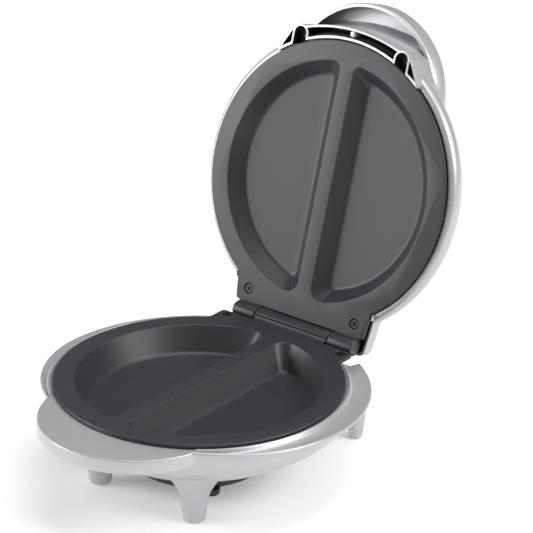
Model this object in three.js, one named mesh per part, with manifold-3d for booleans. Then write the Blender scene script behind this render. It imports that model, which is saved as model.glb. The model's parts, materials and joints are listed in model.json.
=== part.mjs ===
// Omelette maker with two half-moon wells: a base on four moulded feet, a lid on a rear hinge,
// two cast plates, their heating elements and the parts that hold them.
// Millimetres, +Z up, front handle towards -Y. Heights inside a function are measured from the
// top face of the lower plate and y from its centre; the last group moves that point into place.
import * as THREE from "three";
import { mergeVertices } from "three/addons/utils/BufferGeometryUtils.js";
import Module from "manifold-3d";

const wasm = await Module();
wasm.setup();

// Driving dimensions
const PLATE_HEIGHT = 73.6; // top of the lower plate above the table
const MID_Y = 38.8; // middle of the open appliance, measured from the plate centre
const PLATE_R = 103;
const PLATE_T = 3;
const WALL = 2.5;
const WELL_R = 88; // outer radius of both wells at the rim
const DIVIDER_HALF = 6;
const WELL_CORNERS = { front: 6, rear: 10 };
const WELL_RUN = 9.2; // how far the sloping wall of a well comes in on its way down
const WELL_FILLET = 4;
const LOWER_WELL_DEPTH = 19;
const UPPER_WELL_DEPTH = 9.7;
const HINGE_Y = 109.8;
const HINGE_Z = -0.34;
const KNUCKLE_R = 6.3;
const PIN_R = 2.4;
const CENTRE_KNUCKLE_HALF = 33;
const OUTER_KNUCKLE_END = 55;
const OPEN_ANGLE = THREE.MathUtils.degToRad(106);
const LID_GAP = 1.7; // between the two plates when the lid is shut
const TAB_HALF = 59.5; // half width of the hinge tab on each plate
const TAB_Y = 101;
const HANDLE_R = 68; // outline circle of the lower handle
const FOOT_BOTTOM = -72.8;
const FRONT_FOOT = [42.9, -56.9];
const REAR_FOOT = [55, 114];
const COVER_R = 50;
const COVER_Z = -62;
const GAP = 0.3;
const RING = 48; // corners in a full casing loop
const FRONT_WALL_R = 134.5; // the lid's front wall is an arc of this radius
const FRONT_WALL_Y = -113;
const UPPER_HANDLE_R = 67.4;
const UPPER_HANDLE_Y = -66;
const UPPER_HANDLE_Z = 22.5;

// Finishes
const SILVER = { color: 0xc3c5c9, roughness: 0.38, metalness: 0.35 };
const NONSTICK = { color: 0x3a3a3e, roughness: 0.5, metalness: 0.2 };
const BLACK_PLASTIC = { color: 0x17171a, roughness: 0.55, metalness: 0 };
const STEEL = { color: 0x9a9a9c, roughness: 0.35, metalness: 0.9 };
const DARK_STEEL = { color: 0x2c2c2e, roughness: 0.4, metalness: 0.8 };
const RUBBER = { color: 0xa9a8a4, roughness: 0.8, metalness: 0 };
const CERAMIC = { color: 0xe9e4d8, roughness: 0.6, metalness: 0 };
const RED_LENS = { color: 0xb01a14, roughness: 0.15, metalness: 0 };
const GREEN_LENS = { color: 0x1c8c3c, roughness: 0.15, metalness: 0 };

// A three.js geometry as a manifold solid, its faces turned outwards.
function solid(geometry) {
  const bare = new THREE.BufferGeometry();
  const loose = geometry.index ? geometry.toNonIndexed() : geometry;
  bare.setAttribute("position", loose.getAttribute("position"));
  const merged = mergeVertices(bare, 1e-4);
  const kept = [];
  for (let i = 0; i < merged.index.count; i += 3) {
    const [a, b, c] = [0, 1, 2].map((k) => merged.index.getX(i + k));
    if (a !== b && b !== c && a !== c) kept.push([a, b, c]);
  }
  const build = (triangles) =>
    new wasm.Manifold(
      new wasm.Mesh({
        numProp: 3,
        vertProperties: new Float32Array(merged.attributes.position.array),
        triVerts: new Uint32Array(triangles.flat()),
      }),
    );
  const made = build(kept);
  return made.volume() > 0 ? made : build(kept.map(([a, b, c]) => [a, c, b]));
}

// A finished manifold solid as a named mesh.
function part(name, body, finish) {
  const out = body.getMesh();
  const corners = new Float32Array(out.numVert * 3);
  for (let i = 0; i < out.numVert; i += 1) {
    corners.set(out.vertProperties.subarray(i * out.numProp, i * out.numProp + 3), i * 3);
  }
  const geometry = new THREE.BufferGeometry();
  geometry.setAttribute("position", new THREE.BufferAttribute(corners, 3));
  geometry.setIndex(new THREE.BufferAttribute(out.triVerts, 1));
  geometry.computeVertexNormals();
  const mesh = new THREE.Mesh(geometry, new THREE.MeshStandardMaterial(finish));
  mesh.name = name;
  return mesh;
}

const join = (bodies) => bodies.reduce((all, body) => all.add(body));
const cut = (body, tools) => tools.reduce((left, tool) => left.subtract(tool), body);

// A body of revolution about a vertical axis at (x, y), from a profile of [radius, height].
function turned(profile, segments = 32, x = 0, y = 0) {
  const points = profile.map(([r, z]) => new THREE.Vector2(r, z));
  const geometry = new THREE.LatheGeometry(points, segments);
  return solid(geometry.rotateX(Math.PI / 2).translate(x, y, 0));
}

const disc = (r, low, high, x = 0, y = 0, segments = 32) =>
  turned([[0, low], [r, low], [r, high], [0, high]], segments, x, y);

// A rod along X between two places, centred on (y, z).
function crossRod(r, from, to, y, z, segments = 24) {
  const geometry = new THREE.CylinderGeometry(r, r, to - from, segments);
  return solid(geometry.rotateZ(Math.PI / 2).translate((from + to) / 2, y, z));
}

// A box between two corners.
function block(low, high) {
  const size = high.map((value, i) => value - low[i]);
  const centre = high.map((value, i) => (value + low[i]) / 2);
  return solid(new THREE.BoxGeometry(...size).translate(...centre));
}

// An upright prism of a flat outline.
function prism(points, low, high) {
  const shape = new THREE.Shape(points.map(([x, y]) => new THREE.Vector2(x, y)));
  const geometry = new THREE.ExtrudeGeometry(shape, { depth: high - low, bevelEnabled: false });
  return solid(geometry.translate(0, 0, low));
}

// A body whose skin passes through closed loops of equal length, lowest first.
function stacked(loops) {
  const count = loops[0].length;
  const corners = [];
  const quad = (a, b, c, d) => corners.push(...a, ...b, ...c, ...a, ...c, ...d);
  loops.slice(1).forEach((upper, level) => {
    const lower = loops[level];
    for (let i = 0; i < count; i += 1) {
      const next = (i + 1) % count;
      quad(lower[i], lower[next], upper[next], upper[i]);
    }
  });
  const cap = (loop, flip) => {
    const flat = loop.map(([x, y]) => new THREE.Vector2(x, y));
    for (const [a, b, c] of THREE.ShapeUtils.triangulateShape(flat, [])) {
      corners.push(...loop[a], ...(flip ? loop[c] : loop[b]), ...(flip ? loop[b] : loop[c]));
    }
  };
  cap(loops[0], true);
  cap(loops.at(-1), false);
  const geometry = new THREE.BufferGeometry();
  geometry.setAttribute("position", new THREE.Float32BufferAttribute(corners, 3));
  return solid(geometry);
}

const circleLoop = (r, z, cx = 0, cy = 0, count = RING) =>
  Array.from({ length: count }, (_, i) => {
    const angle = (i / count) * Math.PI * 2;
    return [cx + r * Math.cos(angle), cy + r * Math.sin(angle), z];
  });

// Half-moon outline: a big arc, a straight side along the divider and two rounded corners.
// side is +1 for the right well and -1 for the left, inset shrinks it all round.
function halfMoon(side, inset, z) {
  const r = WELL_R - inset;
  const edge = DIVIDER_HALF + inset;
  const corner = (size) => {
    const radius = Math.max(size - 0.55 * inset, 4.4);
    const x = edge + radius;
    const y = Math.sqrt((r - radius) ** 2 - x ** 2);
    return { radius, x, y, meet: Math.atan2(y, x) };
  };
  const front = corner(WELL_CORNERS.front);
  const rear = corner(WELL_CORNERS.rear);
  const points = [];
  const arc = (x, y, radius, from, to, steps) => {
    for (let i = 0; i <= steps; i += 1) {
      const angle = from + ((to - from) * i) / steps;
      points.push([side * (x + radius * Math.cos(angle)), y + radius * Math.sin(angle), z]);
    }
  };
  arc(front.x, -front.y, front.radius, Math.PI, 2 * Math.PI - front.meet, 3);
  arc(0, 0, r, -front.meet, rear.meet, 16);
  arc(rear.x, rear.y, rear.radius, rear.meet, Math.PI, 3);
  return side > 0 ? points : points.reverse();
}

// The hollow of a well, mouth at z = 0 and floor at -depth: straight sloping walls and a small
// fillet round the floor. grow makes the same shape larger, for the outside of the casting.
function wellBody(side, depth, grow) {
  const slope = Math.atan(WELL_RUN / depth);
  const bend = Math.PI / 2 - slope;
  const tangent = WELL_FILLET * Math.tan(bend / 2);
  const loops = [];
  for (let i = 0; i <= 3; i += 1) {
    const turn = (i / 3) * bend;
    const inset = WELL_RUN + tangent - WELL_FILLET * Math.sin(turn);
    loops.push(halfMoon(side, inset - grow, -depth - grow + WELL_FILLET * (1 - Math.cos(turn))));
  }
  loops.push(halfMoon(side, -grow, 0));
  if (!grow) loops.push(halfMoon(side, 0, 1));
  return stacked(loops);
}

// Hinge tab of a plate, from inside the disc out to the knuckles.
const LOWER_TAB = [[-TAB_HALF, 70], [TAB_HALF, 70], [TAB_HALF, TAB_Y], [-TAB_HALF, TAB_Y]];
const UPPER_TAB = [[-61, 80], [61, 80], [58.1, 103.2], [-58.1, 103.2]];

// A cast plate facing up at z = 0, with its hinge tab and its two wells.
function castPlate(depth, tab) {
  const body = join([
    disc(PLATE_R, -PLATE_T, 0, 0, 0, RING),
    prism(tab, -PLATE_T, 0),
    wellBody(1, depth, WALL),
    wellBody(-1, depth, WALL),
  ]);
  return cut(body, [wellBody(1, depth, 0), wellBody(-1, depth, 0)]);
}

const LOWER_SCREW = [52, 96];
const UPPER_SCREW = [48.5, 93.5];
const SCREW_HEAD_R = 3.6;

// Countersunk hole for a plate screw, opening upwards at z = 0.
const screwSeat = (x, y) =>
  turned([[0, -9], [2.1, -9], [2.1, -3], [SCREW_HEAD_R + GAP, -1.4], [SCREW_HEAD_R + GAP, 1], [0, 1]],
    16, x, y);

function lowerPlate() {
  const knuckle = crossRod(KNUCKLE_R, -CENTRE_KNUCKLE_HALF, CENTRE_KNUCKLE_HALF, HINGE_Y, HINGE_Z);
  const half = CENTRE_KNUCKLE_HALF - 1;
  const web = block([-half, TAB_Y - 1, -PLATE_T], [half, HINGE_Y - 3, 0]);
  const bore = crossRod(PIN_R + 0.25, -60, 60, HINGE_Y, HINGE_Z);
  const body = join([castPlate(LOWER_WELL_DEPTH, LOWER_TAB), web, knuckle]);
  const seats = [-1, 1].map((side) => screwSeat(side * LOWER_SCREW[0], LOWER_SCREW[1]));
  return cut(body, [bore, ...seats]);
}

// Outer edge of the base shelf: nearly a circle, shorter towards the handle, and lower at the back.
function shelfEdge(angle, inset, drop) {
  const across = 118.5 - inset;
  const along = (Math.sin(angle) > 0 ? 120 : 109) - inset;
  const y = along * Math.sin(angle) + 4;
  const forward = THREE.MathUtils.smoothstep(-y, 50, 95);
  return [across * Math.cos(angle), y, -5.8 - 0.022 * y + 1.6 * forward - drop];
}

const shelfLoop = (inset, drop) =>
  Array.from({ length: RING }, (_, i) => shelfEdge((i / RING) * Math.PI * 2, inset, drop));

function frontFoot(side) {
  const profile = [[0, FOOT_BOTTOM], [7.2, FOOT_BOTTOM], [8, -71.8], [9.4, -60], [10.8, -51],
    [12.4, -46.5], [15, -43], [15, -36], [0, -36]];
  return turned(profile, 20, side * FRONT_FOOT[0], FRONT_FOOT[1]);
}

function rearFoot(side) {
  const profile = [[0, FOOT_BOTTOM], [4.2, FOOT_BOTTOM], [5, -71.8], [6.4, -60], [7.4, -50],
    [8.4, -40], [8.4, -24], [0, -24]];
  return turned(profile, 16, side * REAR_FOOT[0], REAR_FOOT[1]);
}

const footPlaces = [
  { name: "front_left", side: -1, at: FRONT_FOOT, r: 6 },
  { name: "front_right", side: 1, at: FRONT_FOOT, r: 6 },
  { name: "rear_left", side: -1, at: REAR_FOOT, r: 3.4 },
  { name: "rear_right", side: 1, at: REAR_FOOT, r: 3.4 },
];
const PAD_DEPTH = 1.8;

const padSeat = ({ side, at, r }) =>
  disc(r + GAP, FOOT_BOTTOM - 1, FOOT_BOTTOM + PAD_DEPTH, side * at[0], at[1], 14);

const footPad = ({ side, at, r }) =>
  disc(r, -PLATE_HEIGHT, FOOT_BOTTOM + PAD_DEPTH - GAP, side * at[0], at[1], 14);

// A rectangle loop with rounded rear corners, for the housing behind the bowl. taper widens its front.
function housingLoop(half, rear, z, corner = 9, taper = 0) {
  const points = [[-half - taper, 60, z], [half + taper, 60, z]];
  for (const [side, from] of [[1, 0], [-1, Math.PI / 2]]) {
    for (let i = 0; i <= 3; i += 1) {
      const angle = from + (i / 3) * (Math.PI / 2);
      const x = side * (half - corner) + corner * Math.cos(angle);
      points.push([x, rear - corner + corner * Math.sin(angle), z]);
    }
  }
  return points;
}

const housing = (levels, shrink) =>
  stacked(levels.map(([half, rear, z]) => housingLoop(half - shrink, rear - shrink, z)));

// Housing under the hinge: carries the rear feet and lets the supply cord out.
const REAR_HOUSING = [[46, 90, -47], [56, 108, -36], [61, 117, -22], [62.2, HINGE_Y + 8.4, -10]];

// Space that the rear of the lid sweeps as it turns, kept free in the base.
const sweptByLid = () => crossRod(21.5, -62.4, 62.4, HINGE_Y, HINGE_Z, 40);

function lowerCasing() {
  const bowl = [[50, -50.5], [62, -47.2], [78, -41], [92, -33], [104, -24], [111, -14.5]];
  const skin = stacked([
    ...bowl.map(([r, z]) => circleLoop(r, z)),
    shelfLoop(3, 4.4),
    shelfLoop(0.6, 2.6),
    shelfLoop(0, 1.2),
    shelfLoop(0.9, 0),
    circleLoop(108.6, -4.6),
    circleLoop(107.2, -2.6),
    circleLoop(106.4, -1.6),
    circleLoop(105.2, -1.4),
  ]);
  const lipUnderHandle = disc(HANDLE_R - 1, -3, 2, 0, -HANDLE_R, 40);
  const handleLevels = [[3.4, -13.6], [1.2, -12.6], [0, -10.4], [0, -4.4], [1, -3]];
  const handle = stacked(handleLevels.map(([inset, z]) =>
    circleLoop(HANDLE_R - inset, z, 0, -HANDLE_R, 40)));
  const tabDeck = block([-62.2, 80, -16], [62.2, TAB_Y + 1, -PLATE_T - GAP]);
  const outside = join([
    cut(skin, [lipUnderHandle]),
    handle,
    tabDeck,
    housing(REAR_HOUSING, 0),
    ...[-1, 1].flatMap((side) => [frontFoot(side), rearFoot(side)]),
  ]);
  const hollow = [[50, -47.8], [62, -44.4], [77, -38.2], [90, -30.6], [101, -22], [106, -13.5],
    [100.2, -8.8], [100.2, 3]];
  const inside = stacked(hollow.map(([r, z]) => circleLoop(r, z)));
  const housingRoom = housing(REAR_HOUSING.map(([half, rear, z]) => [half, rear, z + 2]), WALL);
  const plateSeat = disc(PLATE_R + 1.1, -PLATE_T - GAP, 3, 0, 0, RING);
  const tabSeat = block([-62.4, 70, -PLATE_T - GAP], [62.4, 130, 3]);
  const coverOpening = disc(44.2, -55, -40, 0, 0, 32);
  const cordHole = crossRodY(5.4, HINGE_Y - 2, HINGE_Y + 12, -29);
  const pilots = [-1, 1].map((side) => disc(2.1, -12, 0, side * LOWER_SCREW[0], LOWER_SCREW[1], 12));
  return cut(outside, [inside, housingRoom, plateSeat, tabSeat, coverOpening, sweptByLid(), cordHole,
    ...footPlaces.map(padSeat), ...pilots]);
}

// A rod along Y at x = 0.
function crossRodY(r, from, to, z, segments = 20) {
  const geometry = new THREE.CylinderGeometry(r, r, to - from, segments);
  return solid(geometry.translate(0, (from + to) / 2, z));
}

// Black drum under the bowl, with four lugs that hold the wound cord.
function bottomCover() {
  const top = -50.9;
  const drum = turned([[0, COVER_Z], [COVER_R - 2, COVER_Z], [COVER_R, COVER_Z + 2], [COVER_R, top],
    [43.8, top], [43.8, top + 3.6], [41.8, top + 3.6], [41.8, COVER_Z + WALL], [0, COVER_Z + WALL]], 32);
  const lugs = [40, 140, 220, 320].map((degrees) => {
    const angle = THREE.MathUtils.degToRad(degrees);
    return turned([[0, -66], [4.4, -66], [5.8, -64.6], [5.8, -61], [0, -61]], 10,
      49 * Math.cos(angle), 49 * Math.sin(angle));
  });
  const posts = coverScrewPlaces.map(([x, y]) => disc(4.2, COVER_Z + 1, -49.4, x, y, 10));
  const holes = coverScrewPlaces.map(([x, y]) =>
    turned([[0, COVER_Z - 1], [4, COVER_Z - 1], [4, COVER_Z + 2.6], [1.9, COVER_Z + 2.6], [1.9, -49],
      [0, -49]], 10, x, y));
  return cut(join([drum, ...lugs, ...posts]), holes);
}

const coverScrewPlaces = [90, 210, 330].map((degrees) => {
  const angle = THREE.MathUtils.degToRad(degrees);
  return [34 * Math.cos(angle), 34 * Math.sin(angle)];
});

// A cross-slot screw, head towards +Z with its top at (x, y, top); flip turns the head down.
function screw(headR, headDepth, shankR, length, x, y, top, flip = false) {
  const profile = [[0, -length], [shankR, -length], [shankR, -headDepth], [headR, -headDepth * 0.3],
    [headR * 0.92, 0], [0, 0]];
  const arms = [0, Math.PI / 2].map((turn) =>
    solid(new THREE.BoxGeometry(headR * 1.1, headR * 0.28, 1.2).rotateZ(turn)));
  const across = flip ? Math.PI : 0;
  const body = turned(profile, 10);
  const shaped = cut(body, arms).getMesh();
  const geometry = new THREE.BufferGeometry();
  const flat = new Float32Array(shaped.numVert * 3);
  for (let i = 0; i < shaped.numVert; i += 1) {
    flat.set(shaped.vertProperties.subarray(i * shaped.numProp, i * shaped.numProp + 3), i * 3);
  }
  geometry.setAttribute("position", new THREE.BufferAttribute(flat, 3));
  geometry.setIndex(new THREE.BufferAttribute(shaped.triVerts, 1));
  return solid(geometry.rotateX(across).translate(x, y, top));
}

// Sheathed heating tube bent round below a plate, open at the back for its terminals.
function elementTube(r, z, tubeR = 3.2) {
  const points = Array.from({ length: 13 }, (_, i) => {
    const angle = THREE.MathUtils.degToRad(112 + (i / 12) * 316);
    return new THREE.Vector3(r * Math.cos(angle), r * Math.sin(angle), z);
  });
  const path = new THREE.CatmullRomCurve3(points);
  const section = new THREE.Shape().absarc(0, 0, tubeR, 0, Math.PI * 2, false);
  const geometry = new THREE.ExtrudeGeometry(section,
    { extrudePath: path, steps: 30, curveSegments: 4, bevelEnabled: false });
  return solid(geometry);
}

const ELEMENT_R = 95.4;

// Flat strap that holds the element up to the plate, at an angle round the rim.
function elementClamp(degrees, plateFace, out) {
  const inner = plateFace + out * 7.2;
  const outer = plateFace + out * 8.4;
  const strap = new THREE.BoxGeometry(7.4, 14, Math.abs(outer - inner), 1, 1, 1)
    .translate(ELEMENT_R, 0, (inner + outer) / 2);
  return solid(strap.rotateZ(THREE.MathUtils.degToRad(degrees)));
}

function lowerShield() {
  return turned([[0, -24.4], [84.4, -24.4], [93, -17.2], [98.6, -15.2], [98.6, -14.4], [92.6, -16.4],
    [84, -23.6], [0, -23.6]], 40);
}

function terminalBlock() {
  const body = block([-17, 24, -41], [17, 38, -30]);
  const wells = [-11, 0, 11].map((x) => disc(2.6, -36, -29, x, 31, 12));
  return cut(body, wells);
}

const thermalFuse = (y, z) => join([
  crossRod(2.1, -8, 8, y, z, 12),
  crossRod(0.6, -16, 16, y, z, 8),
]);

function cordGland() {
  return join([
    crossRodY(7.4, HINGE_Y + 8.8, HINGE_Y + 11.4, -29),
    crossRodY(5, HINGE_Y + 2, HINGE_Y + 9, -29),
  ]).subtract(crossRodY(3.3, HINGE_Y - 2, HINGE_Y + 14, -29));
}

// The lid is drawn shut, over the base, and turned open about the hinge at the end.
const DOME = [[105.3, 5.1], [107.6, 6.4], [109, 10.5], [107.6, 16.4], [102.6, 24], [92.6, 31],
  [76, 36.4], [46, 40], [12, 41.1]];
const DOME_ROOM = [[103.9, -2], [103.9, 4.9], [103.5, 5], [103.9, 6.4], [106.4, 10.6],
  [105.2, 15.8], [100.6, 22.6], [91, 29.2], [75, 34.2], [45.6, 37.7], [12, 38.8]];

function frontWallLoop(inset, z) {
  const arcR = FRONT_WALL_R - inset;
  const side = 54 - inset;
  const centre = FRONT_WALL_Y + FRONT_WALL_R;
  const points = [];
  for (let i = 0; i <= 10; i += 1) {
    const x = -side + (2 * side * i) / 10;
    points.push([x, centre - Math.sqrt(arcR ** 2 - x ** 2), z]);
  }
  points.push([64.5 - inset, -82, z], [-64.5 + inset, -82, z]);
  return points;
}

// Outline of the lid handle, flattened a little in front.
const upperHandleLoop = (inset, z) => {
  const across = UPPER_HANDLE_R - inset;
  const along = across - Math.max(2.2 - inset, 0);
  return circleLoop(1, z, 0, 0, 40).map(([x, y]) => [across * x, UPPER_HANDLE_Y + along * y, z]);
};

// Loop round the dome's circle and the handle's circle together.
function neckLoop(domeR, handleR, z) {
  return Array.from({ length: 64 }, (_, i) => {
    const angle = (i / 64) * Math.PI * 2;
    const [c, s] = [Math.cos(angle), Math.sin(angle)];
    const onHandle = UPPER_HANDLE_Y * s + handleR > domeR;
    return onHandle ? [handleR * c, UPPER_HANDLE_Y + handleR * s, z] : [domeR * c, domeR * s, z];
  });
}

const NECK = [[104.4, 60, 18], [102.5, 62, 22.5], [99, 62.4, 26], [93, 62.6, 30], [84.4, 62.6, 33.5],
  [69, 61, 37], [49, 57.6, 39.2], [32, 50, 40.3]];

const BOSS = { x: 45, y: -100, r: 5.4 };

// Round recess for a handle screw, open towards the plate.
const bossOutline = (side, grow) => {
  const r = BOSS.r + grow;
  const points = [];
  for (let i = 0; i <= 8; i += 1) {
    const angle = Math.PI + (i / 8) * Math.PI;
    points.push([BOSS.x * side + r * Math.cos(angle), BOSS.y + r * Math.sin(angle)]);
  }
  points.push([BOSS.x * side + r, -88], [BOSS.x * side - r, -88]);
  return points;
};

// Box at the hinge: half width at its rear wall, how much wider it is where it leaves the dome.
const LID_HOUSING = { half: 58.7, rear: 116.2, top: 24, taper: 6.4, wall: 1.5 };

function lidHousing(shrink, low) {
  const { half, rear, top, taper } = LID_HOUSING;
  const levels = [
    [half, rear, low],
    [half, rear, 15],
    [half - 2, rear - 3, 20.5],
    [half - 9, rear - 12, top],
  ];
  return stacked(levels.map(([h, r, z], i) =>
    housingLoop(h - shrink, r - shrink, i === 0 ? z : z - shrink * 0.9, 5, taper)));
}

// Outside and hollow of the lid handle: inset from its outline circle, and height.
const HANDLE_SKIN = [[2.6, UPPER_HANDLE_Z], [1.2, 26], [0.1, 30], [0, 33.5], [1.4, 37],
  [4.9, 39.4], [11.4, 40.6], [27, 41.2]];
const HANDLE_HOLLOW = [[5.2, 15], [5, UPPER_HANDLE_Z], [3.8, 26], [2.7, 30],
  [2.7, 33], [4.2, 36], [7.6, 37.8], [14, 38.6]];

// Space of the handle moulding, which meets the lid casing along two faces.
const handleSpace = (gap) => block([-90, -150, 20 - gap], [90, -104 + gap, 60]);

function lidSkin() {
  const dome = stacked(DOME.map(([r, z]) => circleLoop(r, z)));
  const frontBody = stacked([frontWallLoop(0, 0.4), frontWallLoop(0, 24)]);
  const handle = stacked(HANDLE_SKIN.map(([inset, z]) => upperHandleLoop(inset, z)));
  const neck = stacked(NECK.map((level) => neckLoop(...level)));
  const outside = join([dome, frontBody, handle, neck, lidHousing(0, 2.2)]);
  const domeRoom = stacked(DOME_ROOM.map(([r, z]) => circleLoop(r, z)));
  const handleRoom = stacked(HANDLE_HOLLOW.map(([inset, z]) => upperHandleLoop(inset, z)))
    .subtract(stacked([frontWallLoop(0, 0), frontWallLoop(-4, 42)]))
    .subtract(disc(110.4, 0, 42, 0, 0, RING));
  const innerWall = disc(105.7, -2, 20, 0, 0, RING);
  const domeSkin = stacked(DOME.map(([r, z]) => circleLoop(r + 0.2, z - 0.2)));
  const slot = cut(stacked([frontWallLoop(1.7, -1), frontWallLoop(1.9, 17)]), [innerWall, domeSkin]);
  const bosses = [-1, 1].map((side) => prism(bossOutline(side, 1.5), 0.4, 18));
  const recesses = [-1, 1].map((side) => prism(bossOutline(side, 0), -1, 9)
    .subtract(disc(103.9, -2, 20, 0, 0, RING)));
  const screwHoles = [-1, 1].map((side) => disc(1.8, 5, 16, side * BOSS.x, BOSS.y, 12));
  const peg = disc(2.3, 0.8, 18, 0, -108.9, 16);
  const tabRoom = prism([[-63.6, 70], [63.6, 70], [57.5, 125], [-57.5, 125]], -2, 7);
  const shell = cut(outside, [domeRoom, handleRoom, slot, lidHousing(LID_HOUSING.wall, 6.9), tabRoom]);
  const solidBosses = bosses.map((boss) => boss.subtract(domeRoom));
  const dressed = join([shell, ...solidBosses, peg.intersect(frontBody)]);
  const lensHoles = lensPlaces.map(([x, y]) => disc(LENS_R + GAP, 25, 45, x, y, 16));
  return cut(dressed, [...recesses, ...screwHoles, ...lensHoles]);
}

const LENS_R = 3.4;
const lensPlaces = [[-9, -72], [9, -72]];

function lens([x, y]) {
  return turned([[0, 30.2], [LENS_R + 1.6, 30.2], [LENS_R + 1.6, 31.8], [LENS_R, 31.8], [LENS_R, 37.2],
    [LENS_R * 0.6, 38], [0, 38.2]], 16, x, y);
}

function lampHolder() {
  const body = block([-17, -80, 21], [17, -64, 29.8]);
  return cut(body, lensPlaces.map(([x, y]) => disc(3.1, 24, 32, x, y, 10)));
}

function upperPlate() {
  const flipped = (body) => body.mirror([0, 0, 1]).translate([0, 0, LID_GAP]);
  const plate = flipped(castPlate(UPPER_WELL_DEPTH, UPPER_TAB));
  const ends = [-1, 1].map((side) => {
    const from = side > 0 ? CENTRE_KNUCKLE_HALF + 0.7 : -OUTER_KNUCKLE_END;
    const to = side > 0 ? OUTER_KNUCKLE_END : -CENTRE_KNUCKLE_HALF - 0.7;
    const web = block([from + 0.5, TAB_Y - 2, LID_GAP], [to - 0.5, HINGE_Y, LID_GAP + PLATE_T]);
    return crossRod(KNUCKLE_R, from, to, HINGE_Y, HINGE_Z).add(web);
  });
  const bore = crossRod(PIN_R + 0.25, -53.4, 53.4, HINGE_Y, HINGE_Z);
  const seats = [-1, 1].map((side) => flipped(screwSeat(side * UPPER_SCREW[0], UPPER_SCREW[1])));
  return cut(join([plate, ...ends]), [bore, ...seats]);
}

function upperShield() {
  return turned([[0, 15.6], [80, 15.6], [98, 14.4], [98, 15.2], [80, 16.4], [0, 16.4]], 40);
}

function thermostat() {
  return join([disc(7, 16.9, 21, 0, 30, 20), block([-3, 20, 21], [3, 40, 22]), disc(2, 22, 26, 0, 30, 12)]);
}

const base = new THREE.Group();
base.add(part("lower_casing", lowerCasing(), SILVER));
base.add(part("lower_plate", lowerPlate(), NONSTICK));
base.add(part("lower_element", elementTube(ELEMENT_R, -6.9), STEEL));
base.add(part("lower_heat_shield", lowerShield(), STEEL));
base.add(part("terminal_block", terminalBlock(), CERAMIC));
base.add(part("lower_thermal_fuse", thermalFuse(-20, -30), CERAMIC));
base.add(part("bottom_cover", bottomCover(), BLACK_PLASTIC));
base.add(part("cord_gland", cordGland(), BLACK_PLASTIC));
base.add(part("hinge_pin", crossRod(PIN_R, -52.6, 52.6, HINGE_Y, HINGE_Z), STEEL));
for (const place of footPlaces) base.add(part("foot_pad_" + place.name, footPad(place), RUBBER));
coverScrewPlaces.forEach(([x, y], i) => {
  base.add(part("cover_screw_" + (i + 1), screw(3.5, 2, 1.6, 11, x, y, COVER_Z + 0.4, true), DARK_STEEL));
});
[["left", 180], ["right", 0], ["front", 270]].forEach(([name, degrees]) => {
  base.add(part("lower_element_clamp_" + name, elementClamp(degrees, -PLATE_T - GAP, -1), STEEL));
});
for (const [name, side] of [["left", -1], ["right", 1]]) {
  base.add(part("lower_plate_screw_" + name,
    screw(SCREW_HEAD_R, 2.4, 1.7, 9, side * LOWER_SCREW[0], LOWER_SCREW[1], -0.6), DARK_STEEL));
}

const lid = new THREE.Group();
const skinOfLid = lidSkin();
lid.add(part("upper_casing", skinOfLid.subtract(handleSpace(GAP)), SILVER));
lid.add(part("lid_handle", skinOfLid.intersect(handleSpace(0)), SILVER));
lid.add(part("upper_plate", upperPlate(), NONSTICK));
lid.add(part("upper_element", elementTube(ELEMENT_R, LID_GAP + 6.9), STEEL));
lid.add(part("upper_heat_shield", upperShield(), STEEL));
lid.add(part("thermostat", thermostat(), CERAMIC));
lid.add(part("upper_thermal_fuse", thermalFuse(-30, 20), CERAMIC));
lid.add(part("lamp_holder", lampHolder(), BLACK_PLASTIC));
lid.add(part("power_lens", lens(lensPlaces[0]), RED_LENS));
lid.add(part("ready_lens", lens(lensPlaces[1]), GREEN_LENS));
[["left", 180], ["right", 0], ["front", 270]].forEach(([name, degrees]) => {
  lid.add(part("upper_element_clamp_" + name, elementClamp(degrees, LID_GAP + PLATE_T + GAP, 1), STEEL));
});
for (const [name, side] of [["left", -1], ["right", 1]]) {
  lid.add(part("upper_plate_screw_" + name,
    screw(SCREW_HEAD_R, 2.4, 1.7, 9, side * UPPER_SCREW[0], UPPER_SCREW[1], LID_GAP + 0.6, true),
    DARK_STEEL));
  lid.add(part("handle_screw_" + name,
    screw(3, 1.8, 1.5, 6.5, side * BOSS.x, BOSS.y, 6.8, true), DARK_STEEL));
}

// The lid's own axis is the hinge line; it stands open, leaning back on its stop.
lid.position.set(0, -HINGE_Y, -HINGE_Z);
const hinge = new THREE.Group();
hinge.position.set(0, HINGE_Y, HINGE_Z);
hinge.rotation.x = -OPEN_ANGLE;
hinge.add(lid);

const appliance = new THREE.Group();
appliance.position.set(0, -MID_Y, PLATE_HEIGHT);
appliance.add(base, hinge);

const root = new THREE.Group();
root.add(appliance);
export default root;
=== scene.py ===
import json
import math

import bmesh
import bpy
import numpy as np
from mathutils import Matrix, Vector


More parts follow.
